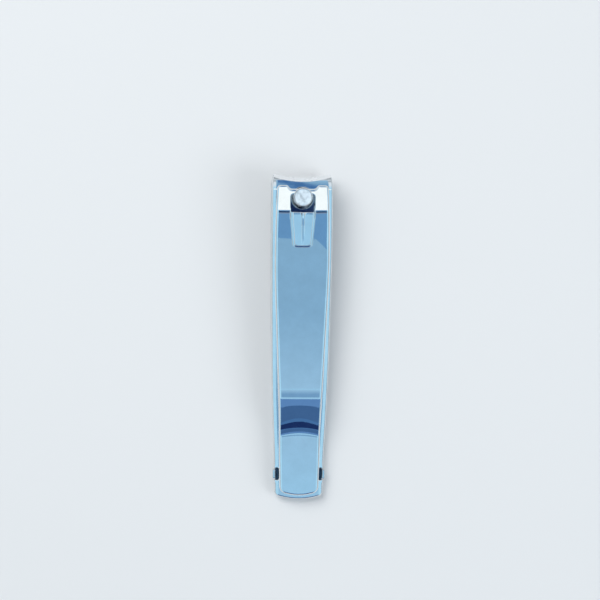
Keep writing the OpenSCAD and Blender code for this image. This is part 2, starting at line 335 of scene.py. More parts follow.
def lever_outline():
    tail = LEVER_HALF * LEVER_SHAPE[0][1]
    right = [(0, LEVER_END, 0), (1.2, LEVER_END + 0.06, 0), (2.4, LEVER_END + 0.25, 0)]
    right.append((tail - 0.05, LEVER_END + 0.85, 1.9))
    for at in np.linspace(0.04, 1, 80):
        width = LEVER_HALF * share(LEVER_SHAPE, at)
        right.append((width, LEVER_END + LEVER_LENGTH * at, 0.9 if at == 1 else 0))
    del right[-2]  # makes room for the front corner's radius
    front = BAR_Y + 0.8
    right += [(WINDOW_HALF + 0.85, LEVER_FRONT, 0.6), (WINDOW_HALF + 0.15, front, 1.1)]
    right.append((0, front, 0))
    return resample(rounded(both_sides(right)), 0.14)


def window_outline():
    rear, front = WINDOW_REAR, BAR_Y - 0.78
    corners = [
        (WINDOW_HALF, rear, 0.35),
        (-WINDOW_HALF, rear, 0.35),
        (-WINDOW_HALF, front, 0.5),
        (WINDOW_HALF, front, 0.5),
    ]
    return resample(rounded(corners), 0.1)


# ---------------------------------------------------------------- plates of bent strip


def smooth_max(a, b, width):
    """The larger of two values, with the crease between them rounded over this width."""
    blend = np.clip(0.5 + 0.5 * (a - b) / width, 0, 1)
    return a * blend + b * (1 - blend) + width * blend * (1 - blend)


def smooth_step(low, high, value):
    """From 0 to 1 as the value goes from low to high, level at both ends."""
    t = np.clip((value - low) / (high - low), 0, 1)
    return t * t * (3 - 2 * t)


def inward(loop):
    """Unit vectors that point into the metal from each point of an outline."""
    along = np.roll(loop, -1, axis=0) - np.roll(loop, 1, axis=0)
    along /= np.linalg.norm(along, axis=1)[:, None]
    return np.column_stack([-along[:, 1], along[:, 0]])


def fillet_radii(loop, base):
    """The edge radius at each point, kept smaller where the outline turns a tight corner."""
    step = np.roll(loop, -1, axis=0) - loop
    length = np.linalg.norm(step, axis=1)
    last = np.roll(step, 1, axis=0)
    turn = np.arctan2(last[:, 0] * step[:, 1] - last[:, 1] * step[:, 0], (last * step).sum(axis=1))
    bend = np.maximum(turn / length, 1e-6)
    radii = np.minimum(base, 0.6 / bend)
    for _ in range(30):
        around = np.minimum(np.roll(radii, 1), np.roll(radii, -1)) + 0.4 * length
        radii = np.minimum(radii, around)
    for _ in range(4):
        radii = (np.roll(radii, 1) + 2 * radii + np.roll(radii, -1)) / 4
    return radii


def facing(surface, xy, sign):
    """Unit normals of a height surface; sign is 1 for an upper face and -1 for a lower one."""
    x, y = xy[:, 0], xy[:, 1]
    reach = 0.02
    slope_x = (surface(x + reach, y) - surface(x - reach, y)) / (2 * reach)
    slope_y = (surface(x, y + reach) - surface(x, y - reach)) / (2 * reach)
    normal = np.column_stack([-slope_x, -slope_y, np.ones(len(x))]) * sign
    return normal / np.linalg.norm(normal, axis=1)[:, None]


def inside(points, loops):
    """Whether each point lies inside the outer loop and outside the holes."""
    result = np.zeros(len(points), bool)
    x, y = points[:, 0], points[:, 1]
    for loop in loops:
        for a, b in zip(loop, np.roll(loop, -1, axis=0)):
            if a[1] == b[1]:
                continue
            crosses = (a[1] > y) != (b[1] > y)
            result ^= crosses & (x < (b[0] - a[0]) * (y - a[1]) / (b[1] - a[1]) + a[0])
    return result


def beside(loop, distances):
    """Points in rows beside the outline, at these distances inside it."""
    into = inward(loop)
    return np.vstack([(loop + into * d)[::2] for d in distances])


def left_of(borders, triangles):
    """The triangles on the left of these directed borders, found by walking from one to the next."""
    owner = {}
    for t, (a, b, c) in enumerate(triangles):
        owner.update({(a, b): t, (b, c): t, (c, a): t})
    borders = set(borders)
    waiting = [owner[edge] for edge in borders if edge in owner]
    found = set(waiting)
    while waiting:
        a, b, c = triangles[waiting.pop()]
        for first, last in ((a, b), (b, c), (c, a)):
            other = owner.get((last, first))
            if (first, last) not in borders and other is not None and other not in found:
                found.add(other)
                waiting.append(other)
    return [triangles[t] for t in sorted(found)]


def rim(loop, top, bottom, radius, rings):
    """The rounded edge of a plate along one outline, from the upper face round to the lower one.

    Returns (rows of points, rows of normals).
    """
    into = inward(loop)
    out = np.column_stack([-into, np.zeros(len(loop))])
    radii = fillet_radii(loop, radius(loop[:, 0], loop[:, 1]))
    angles = [math.pi / 2 * k / rings for k in range(rings + 1)]
    points, normals = [], []
    for sign, turns in ((1, angles), (-1, angles[::-1])):
        for angle in turns:
            xy = loop + into * (radii * (1 - math.sin(angle)))[:, None]
            high, low = top(xy[:, 0], xy[:, 1]), bottom(xy[:, 0], xy[:, 1])
            drop = np.minimum(radii, 0.46 * np.maximum(high - low, THINNEST))
            drop = drop * (1 - math.cos(angle))
            z = high - drop if sign > 0 else np.minimum(low, high - THINNEST) + drop
            face = facing(top if sign > 0 else bottom, xy, sign)
            normal = face * math.cos(angle) + out * math.sin(angle)
            points.append(np.column_stack([xy, z]))
            normals.append(normal / np.linalg.norm(normal, axis=1)[:, None])
    return points, normals


def clear_of(points, loops):
    """The points that lie in the metal and not close to an outline."""
    points = points[inside(points, loops)]
    border = np.vstack(loops)
    tree = KDTree(len(border))
    for i, p in enumerate(border):
        tree.insert((p[0], p[1], 0), i)
    tree.balance()
    clear = [tree.find((p[0], p[1], 0))[2] > 0.07 for p in points]
    return points[np.array(clear, bool)]


def plate(loops, top, bottom, radius, inner, shading, rings=4):
    """A closed plate between two height surfaces, with rounded edges.

    loops are the outer outline and the holes, with the metal on their left. radius gives the edge
    radius at a point, inner lists the points that carry the faces, and shading picks a face's
    material from its middle. rings counts the steps in each quarter of an edge.
    Returns (points, normals, faces, materials).
    """
    points, normals, faces, upper_slots, lower_slots, borders = [], [], [], [], [], []
    count = 0
    for loop in loops:
        n = len(loop)
        row_points, row_normals = rim(loop, top, bottom, radius, rings)
        points += row_points
        normals += row_normals
        last = count + (len(row_points) - 1) * n
        for a in range(count, last, n):
            for i in range(n):
                j = (i + 1) % n
                faces.append((a + i, a + n + i, a + n + j, a + j))
        first = len(upper_slots)
        borders += [(first + i, first + (i + 1) % n) for i in range(n)]
        upper_slots += range(count, count + n)
        lower_slots += range(last, last + n)
        count = last + n

    edge = np.vstack(points)[upper_slots, :2]
    sizes = np.cumsum([len(loop) for loop in loops])[:-1]
    inner = clear_of(inner, np.split(edge, sizes))
    given = [Vector((float(x), float(y))) for x, y in np.vstack([edge, inner])]
    made = delaunay_2d_cdt(given, borders, [], 0, 1e-6, True)
    upper, lower, extra, place_of = {}, {}, [], {}
    for k, origin in enumerate(made[3]):
        i = origin[0] if origin else -1
        if 0 <= i < len(edge):
            upper[k], lower[k], place_of[i] = upper_slots[i], lower_slots[i], k
        else:
            extra.append(k)
    spots = np.array([made[0][k][:] for k in extra]).reshape(-1, 2)
    for sign, surface, index in ((1, top, upper), (-1, bottom, lower)):
        points.append(np.column_stack([spots, surface(spots[:, 0], spots[:, 1])]))
        normals.append(facing(surface, spots, sign))
        index.update({k: count + offset for offset, k in enumerate(extra)})
        count += len(extra)
    borders = [(place_of[a], place_of[b]) for a, b in borders]
    for a, b, c in left_of(borders, made[2]):
        faces.append((upper[a], upper[b], upper[c]))
        faces.append((lower[c], lower[b], lower[a]))
    points, normals = np.vstack(points), np.vstack(normals)
    centres = np.array([points[list(f)].mean(axis=0) for f in faces])
    return points, normals, faces, shading(centres)


def join(*shapes):
    """Several shapes as one."""
    points, normals, faces, materials, start = [], [], [], [], 0
    for shape in shapes:
        points.append(shape[0])
        normals.append(shape[1])
        faces += [tuple(start + i for i in f) for f in shape[2]]
        materials.append(shape[3])
        start += len(shape[0])
    return np.vstack(points), np.vstack(normals), faces, np.concatenate(materials)


def add(name, points, faces, picks, materials):
    """A new mesh object from points in millimetres, with a material picked for each face."""
    mesh = bpy.data.meshes.new(name)
    mesh.from_pydata((np.array(points) * MM).tolist(), [], faces)
    mesh.polygons.foreach_set("use_smooth", [True] * len(faces))
    mesh.polygons.foreach_set("material_index", np.asarray(picks, int).tolist())
    for material in materials:
        mesh.materials.append(material)
    thing = bpy.data.objects.new(name, mesh)
    bpy.context.scene.collection.objects.link(thing)
    return thing


def make(name, shape, materials):
    """A mesh object that is shaded with the shape's own normals."""
    points, normals, faces, picks = shape
    thing = add(name, points, faces, picks, materials)
    thing.data.normals_split_custom_set_from_vertices(normals.tolist())
    thing.data.update()
    return thing


def make_turned(name, points, faces, picks, materials):
    """A mesh object for a turned piece: doubled points are welded and corners stay sharp."""
    thing = add(name, points, faces, picks, materials)
    welded = bmesh.new()
    welded.from_mesh(thing.data)
    bmesh.ops.remove_doubles(welded, verts=welded.verts, dist=1e-7)
    welded.to_mesh(thing.data)
    welded.free()
    thing.data.set_sharp_from_angle(angle=math.radians(32))
    thing.data.update()
    return thing


def grid(x_half, dx, low, high, dy):
    """Staggered rows of points across a plate."""
    xs = np.arange(-x_half, x_half + 1e-6, dx)
    ys = np.arange(low, high + 1e-6, dy)
    x, y = np.meshgrid(xs, ys)
    x[1::2] += dx / 2
    return np.column_stack([x.ravel(), y.ravel()])


def edge_arcs(distances):
    """Points on arcs that run along the cutting edge, at these distances behind it."""
    points = []
    for d in distances:
        x = np.linspace(-HALF, HALF, 110)
        points.append(np.column_stack([x, EDGE_AXIS - np.sqrt((EDGE_RADIUS + d) ** 2 - x**2)]))
    return np.vstack(points)


def rings_of(x, y, radii, spacing):
    """Points on circles round one centre."""
    found = []
    for r in radii:
        n = max(8, round(2 * math.pi * r / spacing))
        found.append(circle(x, y, r, n))
    return np.vstack(found)


# ---------------------------------------------------------------- materials


def shader(name):
    """A new node material: (material, its nodes, its links, its shader node)."""
    material = bpy.data.materials.new(name)
    material.use_nodes = True
    nodes = material.node_tree.nodes
    return material, nodes, material.node_tree.links, nodes["Principled BSDF"]


def noise(nodes, links, where, scale, detail, roughness=0.5):
    node = nodes.new("ShaderNodeTexNoise")
    node.inputs["Scale"].default_value = scale
    node.inputs["Detail"].default_value = detail
    node.inputs["Roughness"].default_value = roughness
    links.new(where, node.inputs["Vector"])
    return node.outputs["Fac"]


def stretched(nodes, links, where, scale, turn=0.0):
    """Coordinates scaled differently along each axis, then turned by some degrees."""
    node = nodes.new("ShaderNodeMapping")
    node.inputs["Scale"].default_value = scale
    node.inputs["Rotation"].default_value = (0, 0, math.radians(turn))
    links.new(where, node.inputs["Vector"])
    return node.outputs["Vector"]


def ramp(nodes, links, value, stops):
    node = nodes.new("ShaderNodeValToRGB")
    while len(node.color_ramp.elements) < len(stops):
        node.color_ramp.elements.new(0.5)
    for element, (at, colour) in zip(node.color_ramp.elements, stops):
        element.position = at
        element.color = (*colour, 1)
    links.new(value, node.inputs["Fac"])
    return node.outputs["Color"]


def between(nodes, links, value, low, high, start=0.3, end=0.7):
    """A value from start to end, spread over low to high."""
    node = nodes.new("ShaderNodeMapRange")
    node.inputs["From Min"].default_value = start
    node.inputs["From Max"].default_value = end
    node.inputs["To Min"].default_value = low
    node.inputs["To Max"].default_value = high
    links.new(value, node.inputs["Value"])
    return node.outputs["Result"]


def bump(nodes, links, height, distance, strength=1.0, normal=None):
    node = nodes.new("ShaderNodeBump")
    node.inputs["Distance"].default_value = distance
    node.inputs["Strength"].default_value = strength
    links.new(height, node.inputs["Height"])
    if normal is not None:
        links.new(normal, node.inputs["Normal"])
    return node.outputs["Normal"]


def plating(name, tone, low, high, wave):
    """Bright plating: faint polishing waves, hairline scratches and dull smudges from handling."""
    material, nodes, links, surface = shader(name)
    place = nodes.new("ShaderNodeTexCoord").outputs["Object"]
    surface.inputs["Metallic"].default_value = 1.0
    smudge = noise(nodes, links, place, 260, 5, 0.62)
    shade = ramp(nodes, links, smudge, [(0.3, [c * 0.93 for c in tone]), (0.7, tone)])
    links.new(shade, surface.inputs["Base Color"])
    hair = stretched(nodes, links, place, (9000, 420, 2000), 7)
    hair = noise(nodes, links, hair, 1, 3, 0.7)
    cross = stretched(nodes, links, place, (700, 9000, 2000), 24)
    cross = noise(nodes, links, cross, 1, 3, 0.7)
    rough = between(nodes, links, smudge, low, high, 0.35, 0.72)
    scratched = nodes.new("ShaderNodeMath")
    scratched.operation = "ADD"
    links.new(between(nodes, links, hair, 0, 0.06, 0.6, 0.75), scratched.inputs[0])
    links.new(rough, scratched.inputs[1])
    links.new(scratched.outputs[0], surface.inputs["Roughness"])
    polish = noise(nodes, links, place, 330, 2)
    normal = bump(nodes, links, polish, wave)
    normal = bump(nodes, links, hair, 0.0000005, 1.0, normal)
    normal = bump(nodes, links, cross, 0.0000003, 1.0, normal)
    links.new(normal, surface.inputs["Normal"])
    return material


def ground(name, tone):
    """A ground face: fine straight wheel marks that run across the edge."""
    material, nodes, links, surface = shader(name)
    place = nodes.new("ShaderNodeTexCoord").outputs["Object"]
    surface.inputs["Metallic"].default_value = 1.0
    marks = stretched(nodes, links, place, (7000, 500, 500))
    marks = noise(nodes, links, marks, 1, 4, 0.7)
    broad = noise(nodes, links, place, 500, 3)
    shade = ramp(nodes, links, marks, [(0.3, [c * 0.94 for c in tone]), (0.65, tone)])
    links.new(shade, surface.inputs["Base Color"])
    links.new(between(nodes, links, broad, 0.2, 0.3), surface.inputs["Roughness"])
    normal = bump(nodes, links, marks, 0.0000004)
    links.new(normal, surface.inputs["Normal"])
    return material


def sheared(name, tone):
    """Unplated steel: mottled, with dull grainy hollows. In a dark tone it also serves as painted shade
    between the arms.
    """
    material, nodes, links, surface = shader(name)
    place = nodes.new("ShaderNodeTexCoord").outputs["Object"]
    surface.inputs["Metallic"].default_value = 0.6
    blotch = noise(nodes, links, place, 900, 4, 0.65)
    dark, pale = [c * 0.66 for c in tone], [min(1, c * 1.25) for c in tone]
    shade = ramp(nodes, links, blotch, [(0.34, dark), (0.52, tone), (0.75, pale)])
    links.new(shade, surface.inputs["Base Color"])
    links.new(between(nodes, links, blotch, 0.55, 0.38), surface.inputs["Roughness"])
    grain = noise(nodes, links, place, 3200, 4, 0.7)
    normal = bump(nodes, links, blotch, 0.00004)
    normal = bump(nodes, links, grain, 0.000004, 1.0, normal)
    links.new(normal, surface.inputs["Normal"])
    return material


LEVER_CHROME = plating("lever_chrome", [0.87, 0.89, 0.905], 0.02, 0.07, 0.0000025)
ARM_CHROME = plating("arm_chrome", [0.85, 0.87, 0.885], 0.03, 0.08, 0.0000025)
GROUND_STEEL = ground("ground_edge", [0.93, 0.94, 0.95])
# Painted shade: a dark, blue-tinted steel that darkens the hidden faces where the arms lie together, as
# under the lug notches.
PAINTED_SHADE_STEEL = sheared("painted_shade_steel", [0.06, 0.12, 0.2])
TURNED_STEEL = plating("turned_steel", [0.8, 0.81, 0.83], 0.12, 0.2, 0.000003)
SHEARED_STEEL = sheared("sheared_steel", [0.86, 0.88, 0.9])
ARM_LOOKS = [ARM_CHROME, GROUND_STEEL, PAINTED_SHADE_STEEL]


# ---------------------------------------------------------------- the two arms

upper_top, upper_bottom = faces_of(
    arm_path(UPPER_REAR, UPPER_FRONT - UPPER_REAR, FLAT, 40, 80), ARM
)
lower_top, lower_bottom = faces_of(arm_path(0, LOWER_FRONT, FLAT + 8, 60, 60), ARM)


def behind_edge(x, y):
    """Distance behind the cutting edge, seen from above."""
    return np.hypot(x, y - EDGE_AXIS) - EDGE_RADIUS


def half_width(shape, half, rear, length):
    """An outline's half width, as a function of the place along it."""
    at = np.linspace(0.0, 1.0, 200)
    halves = [half * share(shape, max(a, 0.04)) for a in at]
    return lambda y: np.interp(y, rear + length * at, halves)


body_half = half_width(BODY_SHAPE, HALF, REAR, LENGTH)
lever_half = half_width(LEVER_SHAPE, LEVER_HALF, LEVER_END, LEVER_LENGTH)


def rolled(half, x, y, width=ROLL_WIDTH):
    """How far tumbling has rolled a face down towards its long sides."""
    return ROLL * np.clip(1 - (half(y) - np.abs(x)) / width, 0, 1) ** 2


def arm_rolled(x, y):
    """The same for an arm: rolled wider, sloping at its rear end and not rolled at the lip."""
    sides = rolled(body_half, x, y, ARM_ROLL_WIDTH) * smooth_step(0.3, 2.2, behind_edge(x, y))
    return sides + REAR_ROLL * smooth_max(np.zeros_like(y), 2.6 - (y - REAR), 0.8)


def lip_bend(y):
    """How far the bend alone has turned an arm's outer face towards the mouth."""
    s = np.clip(y - LIP_START, 0, LIP_BEND - 0.05)
    return LIP_BEND - np.sqrt(LIP_BEND**2 - s**2)


def bevel(x, y):
    """How deep the ground bevel lies under the outer face."""
    return LIP_DEPTH - behind_edge(x, y) * BEVEL


def lip_drop(x, y):
    """How far bend and bevel together turn the outer face towards the mouth."""
    return np.minimum(smooth_max(lip_bend(y), bevel(x, y), 0.06), LIP_DEPTH)


def lip_reach(x, y):
    """How far an arm's inner face stands into the mouth."""
    rise = LIP_HEIGHT - ARM
    sloped = rise + 0.12 - behind_edge(x, y)
    return np.clip(smooth_max(np.zeros_like(sloped), sloped, 0.5), 0, rise)


def upper_outer(x, y):
    well = smooth_step(WELL_R + 0.02, WELL_R - 0.02, np.hypot(x, y - RIVET_Y))
    return upper_top(y) - lip_drop(x, y) - arm_rolled(x, y) - WELL_DEPTH * well


def upper_inner(x, y):
    return upper_bottom(y) - lip_reach(x, y)


def lower_inner(x, y):
    return lower_top(y) + lip_reach(x, y)


def lower_outer(x, y):
    seat = np.clip(SEAT_R - np.hypot(x, y - RIVET_Y), 0, SEAT_DEPTH)
    return lower_bottom(y) + lip_drop(x, y) + arm_rolled(x, y) + seat


def arm_radius(x, y):
    """Tumbled edges, sharp at the cutting edge."""
    return 0.02 + 0.44 * smooth_step(0.25, 1.8, behind_edge(x, y))


def hole_radius(x, y, near_rivet, near_pin, reach):
    """An arm's edge radius, with smaller ones round its two holes."""
    others = np.where(np.hypot(x, y - PIN_Y) < reach, near_pin, arm_radius(x, y))
    return np.where(np.hypot(x, y - RIVET_Y) < 2, near_rivet, others)


def arm_shading(outer, inner, outer_side):
    """Ground steel on the bevel, dark steel as painted shade where the arms lie together, plating
    elsewhere.
    """

    def pick(centres):
        x, y, z = centres.T
        on_bevel = bevel(x, y) > lip_bend(y) + 0.02
        out, into = outer(x, y), inner(x, y)
        on_outer = (z - (out + into) / 2) * outer_side > 0
        # Painted shade: the inner faces at the rear, where the arms lie together, take the dark steel.
        painted_shade_gap = (np.abs(z - into) < 0.03) & (y < RIVET_Y + 4)
        return np.where(on_bevel & on_outer, 1, np.where(painted_shade_gap, 2, 0))

    return pick


arm_points = np.vstack(
    [
        grid(HALF, 0.8, REAR, LIP_START - 0.6, 0.8),
        grid(HALF, 0.32, LIP_START - 0.4, FRONT, 0.22),
        edge_arcs([0.06, 0.14, *np.arange(0.24, 0.85, 0.12), 0.92, 0.98, 1.04, 1.12, 1.22]),
        beside(body_outline(True), [0.56, 0.7, 0.85, 1.0, 1.15, 1.28, 1.4]),
    ]
)
well_radii = WELL_R + np.array([-0.55, -0.25, -0.05, -0.02, 0.02, 0.1, 0.35])
seat_radii = SEAT_R + np.array([-0.6, -0.4, -0.2, -0.02, 0.02, 0.2])
well_rings = rings_of(0, RIVET_Y, well_radii, 0.2)
seat_rings = rings_of(0, RIVET_Y, seat_radii, 0.2)


def lug(side):
    """One rear lug: a tab of the lower arm, bent upright in a notch of the upper arm."""
    run, bend, low = 0.85, 0.55, 0.4
    steps = [(run, 0), (arc(bend, 90), 90), (REAR_TOP + 0.2 - low - bend, 0)]
    path = walk((HALF - run - bend - LUG_T / 2 - 1, low, 0), steps)
    along = np.concatenate(
        [[0], np.cumsum(np.linalg.norm(np.diff(path[:, :2], axis=0), axis=1))]
    )
    length = along[-1]
    corners = [
        (0, -LUG_HALF, 0.1),
        (length, -LUG_HALF, 0.45),
        (length, LUG_HALF, 0.45),
        (0, LUG_HALF, 0.1),
    ]
    loop = resample(rounded(corners), 0.08)
    s, w = np.meshgrid(np.arange(0, length, 0.16), np.arange(-LUG_HALF, LUG_HALF, 0.2))
    shape = plate(
        [loop],
        lambda x, y: np.full_like(x, LUG_T / 2),
        lambda x, y: np.full_like(x, -LUG_T / 2),
        lambda x, y: np.full_like(x, 0.3),
        np.column_stack([s.ravel(), w.ravel()]),
        lambda centres: np.zeros(len(centres), int),
        3,
    )
    points, normals = shape[0], shape[1]
    x, z, heading = (np.interp(points[:, 0], along, path[:, k]) for k in range(3))
    heading = np.radians(heading)
    sine, cosine = np.sin(heading), np.cos(heading)
    place = np.column_stack(
        [x - points[:, 2] * sine, LUG_Y + points[:, 1], z + points[:, 2] * cosine]
    )
    turned = np.column_stack(
        [
            normals[:, 0] * cosine - normals[:, 2] * sine,
            normals[:, 1],
            normals[:, 0] * sine + normals[:, 2] * cosine,
        ]
    )
    faces = shape[2]
    if side < 0:
        place[:, 0] *= -1
        turned[:, 0] *= -1
        faces = [tuple(reversed(f)) for f in faces]
    return place, turned, faces, shape[3]


lower_shape = plate(
    [
        body_outline(False),
        circle(0, PIN_Y, PIN_R + 0.08, 96),
        circle(0, RIVET_Y, 1.52, 64),
    ],
    lower_inner,
    lower_outer,
    lambda x, y: hole_radius(x, y, 0.03, 0.15, PIN_R + 0.2),
    np.vstack([arm_points, seat_rings]),
    arm_shading(lower_outer, lower_inner, -1),
)
lower_arm = make("lower_arm", join(lower_shape, lug(1), lug(-1)), ARM_LOOKS)
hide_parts("lower_jaw")
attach(lower_arm, "lower_arm")

upper_shape = plate(
    [
        body_outline(True),
        circle(0, PIN_Y - 0.15, PIN_R + 0.28, 96),
        circle(0, RIVET_Y, 1.7, 64),
    ],
    upper_outer,
    upper_inner,
    lambda x, y: hole_radius(x, y, 0.08, 0.2, PIN_R + 0.5),
    np.vstack([arm_points, well_rings]),
    arm_shading(upper_outer, upper_inner, 1),
)
upper_arm = make("upper_arm", upper_shape, ARM_LOOKS)
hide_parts("upper_jaw")
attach(upper_arm, "upper_arm")


# ---------------------------------------------------------------- the lever

lever_top, lever_bottom = faces_of(lever_path(), LEVER_T)


def in_ramp(x, y):
    """Distance inside the fulcrum's outline, which runs on under the window.

    Distances along the lever count for more, so that the wall at the rear end is the steepest.
    """
    taper = smooth_step(RAMP_END, WINDOW_REAR, y)
    half_x = RAMP_HALF_REAR + (RAMP_HALF_FRONT - RAMP_HALF_REAR) * taper
    half_y = RAMP_LENGTH + 3
    along = 1.5 * (y - RAMP_END) - half_y
    past_x = np.abs(x) - (half_x - RAMP_CORNER)
    past_y = np.abs(along) - (half_y - RAMP_CORNER)
    outside = np.hypot(np.maximum(past_x, 0), np.maximum(past_y, 0))
    return RAMP_CORNER - outside - np.minimum(np.maximum(past_x, past_y), 0)


def fulcrum(x, y):
    """Height of the pressed-up fulcrum over the lever's face.

    A valley runs along its middle and opens into a dent at the window.
    """
    behind, side = WINDOW_REAR - y, np.abs(x)
    height = np.interp(behind, [0, RAMP_LENGTH], [FULCRUM, RAMP_STEP])
    wall = smooth_step(-0.16, 0.6, in_ramp(x, y))
    dent = 0.6 * np.clip(1 - behind / 2.5, 0, 1) - 0.7 * side
    valley = 0.3 * np.clip(1 - behind / 9, 0, 1) - np.maximum(side - 0.22, 0) / 0.7
    groove = smooth_max(np.zeros_like(dent), smooth_max(dent, valley, 0.1), 0.16) - 0.04
    return wall * (height - np.clip(groove, 0, 2))


def bowed(x, y):
    """The place along the lever, shifted so that the step's bends run across it in an arch."""
    within = smooth_step(CREASE_Y - 1.5, CREASE_Y - 8, y)
    within = within * smooth_step(STEP_REAR - 2, STEP_REAR + 2, y)
    return y + ARCH * np.clip(np.abs(x), 0, 5) ** 2 * within


def lever_upper(x, y):
    """The lever's upper face, a little crowned, with a low swelling on each side of the fulcrum."""
    crown = CROWN * (1 - (x / CROWN_HALF) ** 2) * smooth_step(EAR_BEND + 1, EAR_BEND - 9, y)
    middle = BULGE_Y - 1.25 * np.clip(x - 3.3, 0, 4)
    bulge = BULGE * np.exp(-(((y - middle) / BULGE_LENGTH) ** 2))
    raised = np.where(y < WINDOW_REAR + 1, fulcrum(x, y), 0)
    raised = raised + crown + bulge * smooth_step(1.4, 3.6, np.abs(x))
    return lever_top(bowed(x, y)) - LEVER_SETBACK + raised - rolled(lever_half, x, y)


def lever_lower(x, y):
    """The lever's lower face, hollow under the fulcrum."""
    behind = np.clip(WINDOW_REAR - y, 0, 20)
    hollow = np.interp(behind, [0, 7, 9], [1.65, 0.15, 0]) * smooth_step(1.9, 1.4, np.abs(x))
    return lever_bottom(bowed(x, y)) + np.where(y < WINDOW_REAR + 1, hollow, 0)


def lever_radius(x, y):
    """Rolled edges, almost round at the cross bar and tighter round the window."""
    bar = (np.abs(x) < WINDOW_HALF + 0.25) & (y > BAR_Y - 1)
    nose = (np.abs(x) < WINDOW_HALF - 0.2) & (np.abs(y - WINDOW_REAR) < 0.3)
    inner = (np.abs(x) < WINDOW_HALF + 0.1) & (y > WINDOW_REAR - 0.5) & (y < BAR_Y)
    return np.where(bar, 0.66, np.where(nose, 0.34, np.where(inner, 0.24, 0.5)))


lever_points = np.vstack(
    [
        grid(LEVER_HALF, 0.7, LEVER_END, STEP_REAR - 1.5, 0.7),
        grid(LEVER_HALF, 0.55, STEP_REAR - 1.3, STEP_FRONT + 1, 0.2),
        grid(LEVER_HALF, 0.7, STEP_FRONT + 1.2, RAMP_END - 1, 0.7),
        grid(LEVER_HALF, 0.22, RAMP_END - 0.8, WINDOW_REAR + 0.4, 0.22),
        grid(3.3, 0.07, RAMP_END - 0.4, RAMP_END + 1.6, 0.07),
        grid(1.3, 0.06, WINDOW_REAR - 3.2, WINDOW_REAR, 0.08),
        grid(LEVER_HALF, 0.4, WINDOW_REAR + 0.6, LEVER_FRONT, 0.4),
        beside(lever_outline(), [0.6, 0.68, 0.76, 0.84]),
    ]
)
wall_columns = [
    np.column_stack([np.full(90, s * x), np.linspace(RAMP_END + 1.4, WINDOW_REAR, 90)])
    for s in (-1, 1)
    for x in np.arange(1.9, 3.15, 0.06)
]
lever_shape = plate(
    [lever_outline(), window_outline()],
    lever_upper,
    lever_lower,
    lever_radius,
    np.vstack([lever_points, *wall_columns]),
    lambda centres: np.zeros(len(centres), int),
    5,
)
lever = make("lever_plate", lever_shape, [LEVER_CHROME])
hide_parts("lever")
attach(lever, "lever_arm")


# ---------------------------------------------------------------- the pin and the rivet

# Steps in a ring of the pin: across the notch, and round the rest.
CHORD, ARC = 24, 84


def pin_ring(z, radius, half_angle, cut):
    """One level of the pin. Across the notch the ring runs straight instead of round."""
    ring = []
    for k in range(ARC + 1):
        angle = half_angle + (2 * math.pi - 2 * half_angle) * k / ARC
        ring.append((radius * math.sin(angle), PIN_Y + radius * math.cos(angle), z))
    for k in range(1, CHORD):
        t = k / CHORD
        angle = -half_angle + 2 * half_angle * t
        x, y = radius * math.sin(angle), radius * math.cos(angle)
        if cut:
            x = radius * math.sin(half_angle) * (2 * t - 1)
            y = radius * math.cos(half_angle)
        ring.append((x, PIN_Y + y, z))
    return ring


def round_levels(profile, ledge):
    """Levels of the pin that aren't cut by the notch, from a profile of (height, radius)."""
    return [(z, radius, ledge, False) for z, radius in profile]


def pin_levels():
    """Every level from the foot to the head, as (height, radius, half angle of the notch, cut)."""
    ledge = math.acos((BAR_Y - PIN_Y) / PIN_R)
    turns = [math.pi / 2 * k / 4 for k in range(1, 5)]
    foot = [(0.0, 0.6), (0.0, 1.6), (0.0, FOOT_R - 0.3)]
    foot += [
        (FOOT_EDGE * (1 - math.cos(t)), FOOT_R - FOOT_EDGE * (1 - math.sin(t))) for t in turns
    ]
    foot += [(FOOT_T - 0.2, FOOT_R), (FOOT_T - 0.08, FOOT_R - 0.05), (FOOT_T, FOOT_R - 0.15)]
    foot += [(FOOT_T, PIN_R + 0.1), (FOOT_T + 0.04, PIN_R)]
    low, high, waist = BAR_Z - NOTCH_R, BAR_Z + NOTCH_R, PIN_R - 0.08
    foot += [(z, PIN_R) for z in np.linspace(2, low - 0.1, 12)]
    notch = [(low, waist, ledge, False), (low, waist, ledge, True)]
    for turn in np.arange(1, 16) * math.pi / 16:
        depth = BAR_Y - PIN_Y - NOTCH_R * math.sin(turn)
        half_angle = math.acos(depth / (PIN_R - 0.03))
        notch.append((BAR_Z - NOTCH_R * math.cos(turn), PIN_R - 0.03, half_angle, True))
    notch += [(high, waist, ledge, True), (high, waist, ledge, False)]
    head = [(high + 0.1, PIN_R)]
    head += [(z, PIN_R) for z in np.linspace(high + 0.25, PIN_TOP - 0.62, 3)]
    chamfer = [(0.4, 0.04), (0.24, 0.14), (0.12, 0.3), (0.07, 0.38)]
    head += [(PIN_TOP - down, PIN_R - into) for down, into in chamfer]
    head += [(PIN_TOP - 0.06, radius) for radius in [1.9, *np.arange(1.8, 0.1, -0.15)]]
    return round_levels(foot, ledge) + notch + round_levels(head, ledge)


def torn(x, y):
    """Height of the swirl that the parting tool left on the pin's cut end."""
    radius, angle = math.hypot(x, y), math.atan2(y, x)
    swirl = math.sin(3 * angle + 3.4 * radius) * 0.4 + math.sin(7 * angle - 5 * radius) * 0.25
    lean = -0.065 * y + 0.01 * x
    return lean + 0.03 * swirl + 0.015 * math.sin(9 * x + 2 * y) * math.sin(8 * y - 3 * x)


def worn(x, y, z):
    """A point of the pin, moved where it lies on the cut end."""
    reach = math.hypot(x, y - PIN_Y)
    if z < END_Z or reach > WORN_R:
        return x, y, z
    fade = min(1, (WORN_R - reach) / 0.3)
    return x, y, min(PIN_TOP, z - 0.1 + torn(x, y - PIN_Y) * fade)


